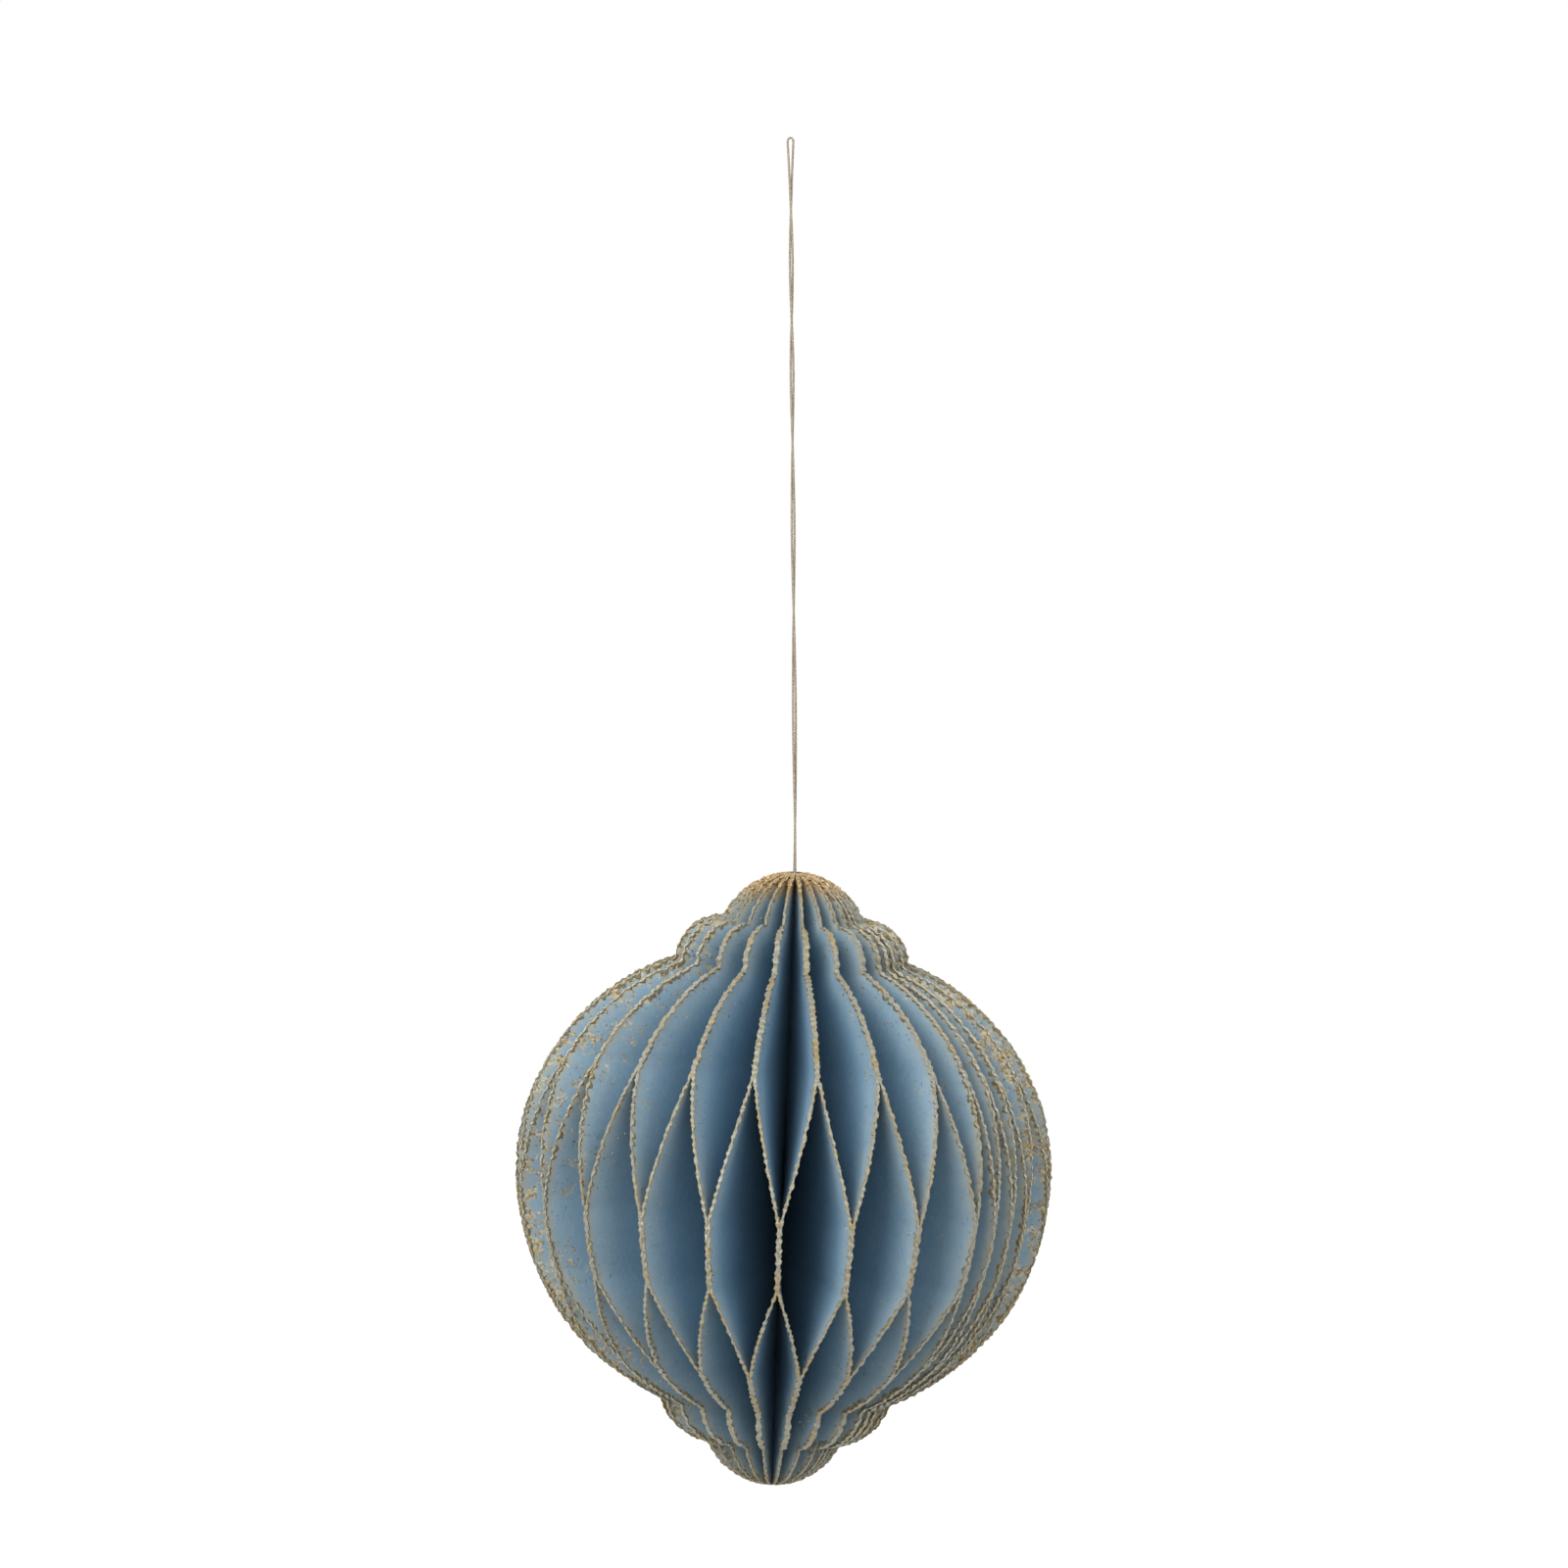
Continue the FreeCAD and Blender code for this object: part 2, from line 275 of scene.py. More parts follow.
def colour_ramp(tree, value, stops):
    """A colour that changes with a value, from a list of places and linear colours."""
    ramp = place_node(tree, "ShaderNodeValToRGB", {"Fac": value})
    while len(ramp.color_ramp.elements) < len(stops):
        ramp.color_ramp.elements.new(1.0)
    for element, (place, colour) in zip(ramp.color_ramp.elements, stops):
        element.position = place
        element.color = (*colour, 1.0)
    return ramp.outputs["Color"]


def add_bump(tree, shader, height, strength, distance):
    """Fine relief on a shader."""
    bump = place_node(
        tree, "ShaderNodeBump", {"Height": height, "Strength": strength, "Distance": distance}
    )
    tree.links.new(bump.outputs["Normal"], shader.inputs["Normal"])


THREAD_STOPS = [
    (0.3, (0.14, 0.10, 0.055)),
    (0.5, (0.24, 0.20, 0.14)),
    (0.72, (0.36, 0.32, 0.26)),
]
cord_thread, tree, shader = new_material("metallic_thread", 0.5)
shader.inputs["Metallic"].default_value = 0.35
place = place_node(tree, "ShaderNodeTexCoord").outputs["Object"]
glints = place_node(tree, "ShaderNodeTexNoise", {"Vector": place, "Scale": 2600.0, "Detail": 2.0})
thread_colour = colour_ramp(tree, glints.outputs["Fac"], THREAD_STOPS)
tree.links.new(thread_colour, shader.inputs["Base Color"])
add_bump(tree, shader, glints.outputs["Fac"], 0.5, 0.08 * MM)

tree, given, made = new_tree(
    "Plied cord", {"Diameter": "Float", "Lay length": "Float", "Thread": "Material"}
)
line = place_node(tree, "GeometryNodeMeshToCurve", {"Mesh": given["Geometry"]})
line = place_node(
    tree, "GeometryNodeResampleCurve", {"Curve": line.outputs[0], "Length": CORD_STEP}, mode="LENGTH"
)
run = place_node(tree, "GeometryNodeSplineParameter").outputs["Length"]
turns = math_of(tree, "DIVIDE", run, given["Lay length"])
tilt = math_of(tree, "MULTIPLY", turns, math.tau)
line = place_node(tree, "GeometryNodeSetCurveTilt", {"Curve": line.outputs[0], "Tilt": tilt})
section = place_node(tree, "GeometryNodeCurvePrimitiveCircle", {"Resolution": CORD_SIDES})
section_place = place_node(tree, "GeometryNodeInputPosition").outputs[0]
parts = place_node(tree, "ShaderNodeSeparateXYZ", {0: section_place}).outputs
round_angle = math_of(tree, "ARCTAN2", parts["Y"], parts["X"])
ply_wave = math_of(tree, "COSINE", math_of(tree, "MULTIPLY", round_angle, PLY_COUNT))
ply_radius = math_of(tree, "MULTIPLY_ADD", ply_wave, PLY_BULGE, PLY_RADIUS)
radius = math_of(tree, "MULTIPLY", ply_radius, given["Diameter"])
section_spot = place_node(
    tree, "ShaderNodeVectorMath", {0: section_place, "Scale": radius}, operation="SCALE"
)
section = place_node(
    tree, "GeometryNodeSetPosition", {"Geometry": section.outputs[0], "Position": section_spot.outputs[0]}
)
rope = place_node(
    tree,
    "GeometryNodeCurveToMesh",
    {"Curve": line.outputs[0], "Profile Curve": section.outputs[0], "Fill Caps": True},
)
rope = place_node(tree, "GeometryNodeRealizeInstances", {0: rope.outputs[0]})
rope = place_node(
    tree, "GeometryNodeSetMaterial", {"Geometry": rope.outputs[0], "Material": given["Thread"]}
)
tree.links.new(rope.outputs[0], made)

cord_mesh = grow_mesh(
    "twisted_cord",
    cord_line_mesh,
    tree,
    {"Diameter": CORD_DIAMETER, "Lay length": LAY_LENGTH, "Thread": cord_thread},
)
cord_mesh.shade_smooth()
cord = add_piece("twisted_cord", cord_mesh)
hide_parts("hanging_cord")

# The knot: the cord's two ends tied into one small overhand knot, which the leaves' spines hold.
KNOT_STOPS = [(0.1, (0.28, 0.21, 0.11)), (0.8, (0.72, 0.64, 0.48))]
knot_thread, tree, shader = new_material("knotted_thread", 0.42)
shader.inputs["Metallic"].default_value = 0.75
place = place_node(tree, "ShaderNodeTexCoord").outputs["Object"]
windings = place_node(
    tree, "ShaderNodeTexWave", {"Vector": place, "Scale": 420.0, "Distortion": 3.0, "Detail": 1.0}
)
knot_colour = colour_ramp(tree, windings.outputs["Fac"], KNOT_STOPS)
tree.links.new(knot_colour, shader.inputs["Base Color"])
add_bump(tree, shader, windings.outputs["Fac"], 0.8, 0.2 * MM)
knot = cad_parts["cord_knot"]
knot.data.materials.clear()
knot.data.materials.append(knot_thread)

# The paper leaves: fifty die-cut sheets of matte blue card with torn edges. Each is glued to one
# neighbour at the top and bottom and to the other at the waist, and bends between the glue strips.
PAPER_THICKNESS = 0.25 * MM
CELL_COUNT = 25
CLOSED_CELLS = (3, 4, 5)  # counted from the front towards the right
CLOSED_CELL_ANGLE = 6.3
FIRST_CELL_ANGLE = -90.7
BODY_HEIGHT = 172.0 * MM
# The outline's corners: radius, depth below the body's top
CROWN = (19.8 * MM, 13.2 * MM)
SHOULDER = (32.4 * MM, 24.8 * MM)
BALL = (74.8 * MM, 84.3 * MM)
SKIRT = (32.0 * MM, 148.1 * MM)
SKIRT_ROUNDING = 15.0 * MM
FOOT = (18.8 * MM, 159.8 * MM)
# The glue strips: depths below the body's top
UPPER_GLUE_END = 51.0 * MM
WAIST_GLUE = (90.5 * MM, 110.0 * MM)
LOWER_GLUE_START = 135.5 * MM
KNOT_DEPTH = 14.0 * MM
KNOT_NOTCH = 2.4 * MM
TOOTH_LENGTH = 2.1 * MM
TOOTH_DEPTH = 0.4 * MM
EDGE_CURL = 0.5 * MM
LIGHT_DUSTING = 0.2
# The glitter has fallen thickest on the cells at the ball's right and left limbs
LIMB_DUSTING = {5: 0.5, 6: 0.9, 7: 1.0, 8: 0.9, 9: 0.6, 17: 0.5, 18: 0.75, 19: 0.8, 20: 0.75, 21: 0.5}
MERGE_REACH = 0.001 * MM
open_cell_angle = (360 - len(CLOSED_CELLS) * CLOSED_CELL_ANGLE) / (CELL_COUNT - len(CLOSED_CELLS))


def upright_arc(widest, end):
    """The radius of the arc that is upright at its widest point and passes through its end."""
    across = widest[0] - end[0]
    return (across**2 + (widest[1] - end[1]) ** 2) / (2 * across)


def pole_arc(radius, height):
    """The radius of the arc that lies level on the axis and passes through a corner."""
    return (radius**2 + height**2) / (2 * height)


def outward_arc(start, end, radius, steps):
    """Points along an outward bulging arc from one (radius, depth) corner down to the next."""
    start = Vector(start)
    end = Vector(end)
    chord = end - start
    rise = math.sqrt(max(radius**2 - chord.length**2 / 4, 0.0))
    centre = (start + end) / 2 + Vector((-chord.y, chord.x)).normalized() * rise
    first = start - centre
    sweep = first.angle_signed(end - centre)
    return [centre + Matrix.Rotation(-sweep * step / steps, 2) @ first for step in range(steps + 1)]


def die_outline(core):
    """The die's cutting line for one leaf, from the spine's top to the spine's bottom."""
    top_radius = pole_arc(*CROWN)
    foot_radius = pole_arc(FOOT[0], BODY_HEIGHT - FOOT[1])
    top = (core, top_radius - math.sqrt(top_radius**2 - core**2))
    bottom = (core, BODY_HEIGHT - foot_radius + math.sqrt(foot_radius**2 - core**2))
    points = outward_arc(top, CROWN, top_radius, 40)
    points += outward_arc(CROWN, SHOULDER, upright_arc(SHOULDER, CROWN), 40)[1:]
    points += outward_arc(SHOULDER, BALL, upright_arc(BALL, SHOULDER), 80)[1:]
    points += outward_arc(BALL, SKIRT, upright_arc(BALL, SKIRT), 80)[1:]
    points += outward_arc(SKIRT, FOOT, SKIRT_ROUNDING, 40)[1:]
    points += outward_arc(FOOT, bottom, foot_radius, 40)[1:]
    mesh = bpy.data.meshes.new("die_line")
    mesh.from_pydata(
        [(radius, 0.0, -depth) for radius, depth in points],
        [(number, number + 1) for number in range(len(points) - 1)],
        [],
    )
    return mesh


def join_tree(tree, used, sockets):
    """Another tree used as one node."""
    return place_node(tree, "GeometryNodeGroup", sockets, node_tree=used).outputs[0]


def stored(tree, geometry, name, value):
    """The geometry with a number kept at each point, for its material."""
    return place_node(
        tree,
        "GeometryNodeStoreNamedAttribute",
        {"Geometry": geometry, "Name": name, "Value": value},
        data_type="FLOAT",
        domain="POINT",
    ).outputs[0]


def split_vector(tree, vector):
    """The three parts of a vector."""
    return place_node(tree, "ShaderNodeSeparateXYZ", {0: vector}).outputs


def vector_of(tree, x, y, z):
    """A vector from its three parts."""
    return place_node(tree, "ShaderNodeCombineXYZ", {0: x, 1: y, 2: z}).outputs[0]


def vector_sum(tree, first, direction, length):
    """A place moved along a direction by a length."""
    step = place_node(tree, "ShaderNodeVectorMath", {0: direction, "Scale": length}, operation="SCALE")
    moved = place_node(tree, "ShaderNodeVectorMath", {0: first, 1: step.outputs[0]}, operation="ADD")
    return moved.outputs[0]


ACROSS_SHEET = (0.0, 1.0, 0.0)


def outward_of(tree, tangent):
    """The direction out of the leaf across its edge, from the direction along the edge."""
    along = split_vector(tree, tangent)
    return vector_of(tree, math_of(tree, "MULTIPLY", along["Z"], -1.0), 0.0, along["X"])


def line_noise(tree, run, scale, offset):
    """Smooth noise from 0 to 1 along an edge."""
    place = math_of(tree, "MULTIPLY_ADD", run, scale, offset)
    noise = place_node(
        tree, "ShaderNodeTexNoise", {"W": place, "Scale": 1.0, "Detail": 1.0}, noise_dimensions="1D"
    )
    return noise.outputs[0]


def eased(tree, value, low, high):
    """0 below low, 1 above high, and smooth between them."""
    return place_node(
        tree,
        "ShaderNodeMapRange",
        {"Value": value, "From Min": low, "From Max": high},
        interpolation_type="SMOOTHSTEP",
    ).outputs[0]


def mixed_colour(tree, share, first, second):
    """The first colour at a share of 0 and the second at 1."""
    sockets = {"Factor": share, 6: first, 7: second}
    return place_node(tree, "ShaderNodeMix", sockets, data_type="RGBA").outputs[2]


def noise_of(tree, place, scale, detail, **settings):
    """Noise in space from 0 to 1."""
    sockets = {"Vector": place, "Scale": scale, "Detail": detail, **settings}
    return place_node(tree, "ShaderNodeTexNoise", sockets).outputs["Fac"]


# The torn edge, which the leaves and their gilding share: rounded teeth, in places bold and in places
# faint, with small nibbles, and a slight curl out of the sheet
TORN_STEP = 0.4 * MM
TOOTH_ROUNDNESS = 0.25
TOOTH_VARIETY = 0.8
TOOTH_BITE = -1.6
BOLDNESS_RUN = 14 * MM
BOLDNESS_RANGE = 2.2
LEAST_BOLDNESS = 0.1
NIBBLE_RUN = 0.8 * MM
NIBBLE_SIZE = 0.5
NIBBLE_START = 0.1
CURL_RUN = 3 * MM
TEETH_START = (0.5 * MM, 4 * MM)
CURL_START = (8 * MM, 22 * MM)
SEED_STRIDE = 17.31
TORN_INPUTS = {"Tooth length": "Float", "Tooth depth": "Float", "Edge curl": "Float", "Seed": "Float"}
torn_tree, given, made = new_tree("Torn edge", TORN_INPUTS)
tree = torn_tree
line = place_node(tree, "GeometryNodeMeshToCurve", {"Mesh": given["Geometry"]})
line = place_node(
    tree, "GeometryNodeResampleCurve", {"Curve": line.outputs[0], "Length": TORN_STEP}, mode="LENGTH"
)
run = place_node(tree, "GeometryNodeSplineParameter").outputs["Length"]
whole = place_node(tree, "GeometryNodeSplineLength").outputs["Length"]
seed_shift = math_of(tree, "MULTIPLY", given["Seed"], SEED_STRIDE)
tooth_place = math_of(tree, "ADD", math_of(tree, "DIVIDE", run, given["Tooth length"]), seed_shift)
teeth = place_node(
    tree,
    "ShaderNodeTexVoronoi",
    {"W": tooth_place, "Scale": 1.0, "Smoothness": TOOTH_ROUNDNESS, "Randomness": TOOTH_VARIETY},
    voronoi_dimensions="1D",
    feature="SMOOTH_F1",
).outputs["Distance"]
boldness = line_noise(tree, run, 1 / BOLDNESS_RUN, seed_shift)
boldness = math_of(tree, "MULTIPLY_ADD", boldness, BOLDNESS_RANGE, LEAST_BOLDNESS)
nibbles = line_noise(tree, run, 1 / NIBBLE_RUN, seed_shift)
nibbles = math_of(tree, "MULTIPLY_ADD", nibbles, NIBBLE_SIZE, NIBBLE_START)
bite = math_of(tree, "MULTIPLY", math_of(tree, "MULTIPLY", teeth, boldness), TOOTH_BITE)
bite = math_of(tree, "ADD", bite, nibbles)
bite = math_of(tree, "MULTIPLY", bite, given["Tooth depth"])
to_end = math_of(tree, "MINIMUM", run, math_of(tree, "SUBTRACT", whole, run))
bite = math_of(tree, "MULTIPLY", bite, eased(tree, to_end, *TEETH_START))
tangent = place_node(tree, "GeometryNodeInputTangent").outputs[0]
shift = vector_sum(tree, (0.0, 0.0, 0.0), outward_of(tree, tangent), bite)
curl = math_of(tree, "SUBTRACT", line_noise(tree, run, 1 / CURL_RUN, seed_shift), 0.5)
curl = math_of(tree, "MULTIPLY", curl, eased(tree, to_end, *CURL_START))
curl = math_of(tree, "MULTIPLY", curl, given["Edge curl"])
shift = vector_sum(tree, shift, ACROSS_SHEET, curl)
line = place_node(tree, "GeometryNodeSetPosition", {"Geometry": line.outputs[0], "Offset": shift})
tree.links.new(line.outputs[0], made)

# The bend from one glue strip to the next, and the leaf's place in the ball
BEND_SOFTNESS = 0.06
PLACE_INPUTS = {"Side": "Float", "Leaf slope": "Float", "Turn": "Float"}
place_tree, given, made = new_tree("Bent leaf in the ball", {**PLACE_INPUTS, "Pile": "Float"})
tree = place_tree
here = split_vector(tree, place_node(tree, "GeometryNodeInputPosition").outputs[0])
depth = math_of(tree, "MULTIPLY", here["Z"], -1.0)


def ramp_between(tree, depth, first, last, rising):
    """The lay of a leaf from one glue strip to the next, past both ends too."""
    low, high = (-1.0, 1.0) if rising else (1.0, -1.0)
    sockets = {"Value": depth, "From Min": first, "From Max": last, "To Min": low, "To Max": high}
    return place_node(tree, "ShaderNodeMapRange", sockets, clamp=False).outputs[0]


lay = math_of(
    tree,
    "MAXIMUM",
    ramp_between(tree, depth, UPPER_GLUE_END, WAIST_GLUE[0], False),
    ramp_between(tree, depth, WAIST_GLUE[1], LOWER_GLUE_START, True),
)
lay = math_of(tree, "SMOOTH_MAX", lay, -1.0, BEND_SOFTNESS)
lay = math_of(tree, "SMOOTH_MIN", lay, 1.0, BEND_SOFTNESS)
reach = math_of(tree, "MULTIPLY_ADD", here["X"], given["Leaf slope"], -PAPER_THICKNESS / 2)
reach = math_of(tree, "SUBTRACT", reach, given["Pile"])
sideways = math_of(tree, "MULTIPLY", math_of(tree, "MULTIPLY", lay, given["Side"]), reach)
leaf = place_node(
    tree,
    "GeometryNodeSetPosition",
    {"Geometry": given["Geometry"], "Offset": vector_of(tree, 0.0, sideways, 0.0)},
)
leaf = place_node(
    tree,
    "GeometryNodeTransform",
    {"Geometry": leaf.outputs[0], "Rotation": vector_of(tree, 0.0, 0.0, given["Turn"])},
)
leaf = place_node(
    tree,
    "GeometryNodeTransform",
    {"Geometry": leaf.outputs[0], "Rotation": (0.0, HANG_LEAN, 0.0), "Translation": CORD_ENTRY},
)
tree.links.new(leaf.outputs[0], made)

# The sheet itself: rows from the spine out to the torn edge, round both faces
LEAF_ROWS = 480
FACE_STEPS = 5
ROW_CROWDING = 1.6
HUB_DEPTH = 80.0 * MM
SPINE_SPREAD = 0.85
LEAF_INPUTS = {
    **PLACE_INPUTS,
    **TORN_INPUTS,
    "Core radius": "Float",
    "Dusting": "Float",
    "Paper": "Material",
}
leaf_tree, given, made = new_tree("Paper leaf", LEAF_INPUTS)
tree = leaf_tree
edge_line = join_tree(tree, torn_tree, {name: given[name] for name in ("Geometry", *TORN_INPUTS)})
columns = 2 * (FACE_STEPS + 1)
grid = place_node(
    tree,
    "GeometryNodeMeshGrid",
    {"Size X": 1.0, "Size Y": 1.0, "Vertices X": columns + 1, "Vertices Y": LEAF_ROWS},
)
flat = split_vector(tree, place_node(tree, "GeometryNodeInputPosition").outputs[0])
column = math_of(tree, "ROUND", math_of(tree, "MULTIPLY_ADD", flat["X"], columns, columns / 2))
row_share = math_of(tree, "ADD", flat["Y"], 0.5)
steps_in = math_of(tree, "MINIMUM", column, math_of(tree, "SUBTRACT", columns - 1.0, column))
share = math_of(tree, "DIVIDE", math_of(tree, "MAXIMUM", steps_in, 0.0), float(FACE_STEPS))
short_of_edge = math_of(tree, "POWER", math_of(tree, "SUBTRACT", 1.0, share), ROW_CROWDING)
out_share = math_of(tree, "SUBTRACT", 1.0, short_of_edge)
on_back = math_of(
    tree,
    "MULTIPLY",
    math_of(tree, "GREATER_THAN", column, FACE_STEPS + 0.5),
    math_of(tree, "LESS_THAN", column, columns - 0.5),
)
face = math_of(tree, "MULTIPLY_ADD", on_back, -PAPER_THICKNESS, PAPER_THICKNESS / 2)
edge = place_node(
    tree,
    "GeometryNodeSampleCurve",
    {"Curves": edge_line, "Factor": row_share},
    mode="FACTOR",
    use_all_curves=True,
)
edge_spot = split_vector(tree, edge.outputs["Position"])
edge_depth = math_of(tree, "MULTIPLY", edge_spot["Z"], -1.0)
spine_depth = math_of(
    tree, "MULTIPLY_ADD", math_of(tree, "SUBTRACT", edge_depth, HUB_DEPTH), SPINE_SPREAD, HUB_DEPTH
)
from_knot = math_of(tree, "SUBTRACT", spine_depth, KNOT_DEPTH)
notch = math_of(tree, "SUBTRACT", KNOT_NOTCH**2, math_of(tree, "MULTIPLY", from_knot, from_knot))
notch = math_of(tree, "SQRT", math_of(tree, "MAXIMUM", notch, 0.0))
spine_radius = math_of(tree, "MAXIMUM", notch, given["Core radius"])
spine = vector_of(tree, spine_radius, face, math_of(tree, "MULTIPLY", spine_depth, -1.0))
curl = math_of(tree, "MULTIPLY", edge_spot["Y"], math_of(tree, "GREATER_THAN", share, 0.99))
rim = vector_of(tree, edge_spot["X"], math_of(tree, "ADD", face, curl), edge_spot["Z"])
spot = place_node(tree, "ShaderNodeMix", {"Factor": out_share, 4: spine, 5: rim}, data_type="VECTOR")
leaf_width = place_node(tree, "ShaderNodeVectorMath", {0: spine, 1: rim}, operation="DISTANCE")
to_edge = math_of(tree, "MULTIPLY", leaf_width.outputs["Value"], short_of_edge)
leaf = stored(tree, grid.outputs["Mesh"], "edge_distance", to_edge)
leaf = stored(tree, leaf, "dusting", given["Dusting"])
leaf = place_node(tree, "GeometryNodeSetPosition", {"Geometry": leaf, "Position": spot.outputs[1]})
leaf = place_node(
    tree, "GeometryNodeMergeByDistance", {"Geometry": leaf.outputs[0], "Distance": MERGE_REACH}
)
leaf = join_tree(
    tree,
    place_tree,
    {"Geometry": leaf.outputs[0], **{name: given[name] for name in PLACE_INPUTS}},
)
leaf = place_node(tree, "GeometryNodeRealizeInstances", {0: leaf})
leaf = place_node(
    tree, "GeometryNodeSetMaterial", {"Geometry": leaf.outputs[0], "Material": given["Paper"]}
)
tree.links.new(leaf.outputs[0], made)

# The card's finish: matt dyed fibre, paler and greyer towards the torn edge, partly glitter dust and partly
# painted sheen, with a painted highlight at the rim, with blotches of fallen glitter on the dusted cells
# and a smear of gold round the crown's apex
CARD_STOPS = [(0.25, (0.157, 0.280, 0.388)), (0.75, (0.188, 0.318, 0.428))]
FIBRE_COLOUR = (0.27, 0.385, 0.475, 1.0)
# Glitter dust with a painted sheen: the card's paler, greyer tone on the lit outer part of each leaf
DUST_AND_SHEEN_COLOUR = (0.31, 0.37, 0.38, 1.0)
# Glitter dust and a painted highlight: a pale band along the lit rim of the torn edge
RIM_COLOUR = (0.33, 0.33, 0.27, 1.0)
SMEAR_COLOUR = (0.42, 0.30, 0.14, 1.0)
BLOTCH_STOPS = [(0.1, (0.24, 0.15, 0.05)), (0.5, (0.48, 0.36, 0.15)), (0.9, (0.50, 0.51, 0.47))]
GRAIN_STRETCH = (1.0, 1.0, 0.22)
DUST_AND_SHEEN_WIDTH = (16 * MM, 0.4 * MM)
RIM_WIDTH = (3.5 * MM, 0.2 * MM)
BLOTCH_WIDTH = (17 * MM, 6 * MM)
DUST_AND_SHEEN_STRENGTH = 0.9
RIM_STRENGTH = 0.85
BLOTCH_STRENGTH = 0.85
BARE_CARD_LEVEL = 0.69
DUSTING_EFFECT = -0.24
BLOTCH_PATCHES = (0.42, 0.56)
SMEAR_PATCHES = (0.72, 0.42)
FIBRE_RANGE = (0.45, 0.8)
CROWN_GOLD_START = -CORD_DROP - 9 * MM
CROWN_GOLD_FULL = -CORD_DROP - 2 * MM
blue_card, tree, shader = new_material("blue_card", 0.86)
shader.inputs["Specular IOR Level"].default_value = 0.25
place = place_node(tree, "ShaderNodeTexCoord").outputs["Object"]
stretched = place_node(tree, "ShaderNodeMapping", {"Vector": place, "Scale": GRAIN_STRETCH})
clouds = noise_of(tree, place, 60.0, 4.0, Roughness=0.6)
fibres = noise_of(tree, stretched.outputs[0], 2400.0, 4.0, Roughness=0.7)
patch_noise = noise_of(tree, place, 180.0, 3.0)
blotches = noise_of(tree, place, 420.0, 4.0, Roughness=0.7)
edge_distance = place_node(tree, "ShaderNodeAttribute", attribute_name="edge_distance").outputs["Fac"]
dusting = place_node(tree, "ShaderNodeAttribute", attribute_name="dusting").outputs["Fac"]

card_colour = colour_ramp(tree, clouds, CARD_STOPS)
card_colour = mixed_colour(tree, eased(tree, fibres, *FIBRE_RANGE), card_colour, FIBRE_COLOUR)
# Painted sheen with glitter dust: the card turns paler and greyer within reach of the torn edge, in patches
dust_and_sheen = math_of(tree, "MULTIPLY", eased(tree, edge_distance, *DUST_AND_SHEEN_WIDTH), patch_noise)
dust_and_sheen = math_of(tree, "MULTIPLY", dust_and_sheen, DUST_AND_SHEEN_STRENGTH)
card_colour = mixed_colour(tree, dust_and_sheen, card_colour, DUST_AND_SHEEN_COLOUR)
# Painted highlight with glitter dust: a paler band within a few millimetres of the torn edge
rim_dust_and_highlight = math_of(tree, "MULTIPLY", eased(tree, edge_distance, *RIM_WIDTH), RIM_STRENGTH)
card_colour = mixed_colour(tree, rim_dust_and_highlight, card_colour, RIM_COLOUR)
blotch_level = math_of(tree, "MULTIPLY_ADD", dusting, DUSTING_EFFECT, BARE_CARD_LEVEL)
blotted = math_of(tree, "GREATER_THAN", blotches, blotch_level)
blotted = math_of(tree, "MULTIPLY", blotted, eased(tree, edge_distance, *BLOTCH_WIDTH))
blotted = math_of(tree, "MULTIPLY", blotted, eased(tree, patch_noise, *BLOTCH_PATCHES))
blotted = math_of(tree, "MULTIPLY", blotted, BLOTCH_STRENGTH)
blotch_flecks = place_node(tree, "ShaderNodeTexVoronoi", {"Vector": place, "Scale": 1500.0})
blotch_colour = colour_ramp(tree, split_vector(tree, blotch_flecks.outputs["Color"])["X"], BLOTCH_STOPS)
card_colour = mixed_colour(tree, blotted, card_colour, blotch_colour)
on_crown = eased(tree, split_vector(tree, place)["Z"], CROWN_GOLD_START, CROWN_GOLD_FULL)
smeared = math_of(tree, "MULTIPLY", on_crown, eased(tree, patch_noise, *SMEAR_PATCHES))
card_colour = mixed_colour(tree, smeared, card_colour, SMEAR_COLOUR)
tree.links.new(card_colour, shader.inputs["Base Color"])
add_bump(tree, shader, fibres, 0.35, 0.06 * MM)

outlines = {}
for kind, cell_angle in (("open", open_cell_angle), ("closed", CLOSED_CELL_ANGLE)):
    leaf_slope = math.tan(math.radians(cell_angle / 4))
    core_radius = PAPER_THICKNESS / 2 / leaf_slope
    outlines[kind] = (cell_angle, leaf_slope, core_radius, die_outline(core_radius))

# Every leaf's outline and the values that its sheet and its gilding share, by the leaf's number
leaf_plans = {}
angle = FIRST_CELL_ANGLE
for cell in range(CELL_COUNT):
    cell_angle, leaf_slope, core_radius, outline = outlines["closed" if cell in CLOSED_CELLS else "open"]
    for side in (1.0, -1.0):
        shared_values = {
            "Side": side,
            "Leaf slope": leaf_slope,
            "Turn": math.radians(angle + cell_angle / 4),
            "Core radius": core_radius,
            "Tooth length": TOOTH_LENGTH,
            "Tooth depth": TOOTH_DEPTH,
            "Edge curl": EDGE_CURL,
            "Seed": float(cell),
            "Dusting": LIMB_DUSTING.get(cell, LIGHT_DUSTING),
        }
        leaf_plans[len(leaf_plans) + 1] = (outline, shared_values)
        angle += cell_angle / 2

for number, (outline, shared_values) in leaf_plans.items():
    leaf_mesh = grow_mesh(
        f"paper_leaf_{number:02d}", outline, leaf_tree, {**shared_values, "Paper": blue_card}
    )
    leaf_mesh.shade_smooth()
    leaf_mesh.set_sharp_from_angle(angle=math.radians(35))
    leaf = add_piece(leaf_mesh.name, leaf_mesh)
    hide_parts(f"leaf_{number:02d}")

# The gilding: gold glitter set in glue along every torn edge, a thin uneven crust that wraps both faces,
# with loose shards in it and a dusting of them on the card beside it.
CRUST_RING = 8
CRUST_ROWS = 560
CRUST_WIDTH = 0.7 * MM
CRUST_LIP = 0.12 * MM
CRUST_ROUGHNESS = 0.25 * MM
FULL_THICKNESS = 0.94 * MM
FULL_PILE = 0.24 * MM
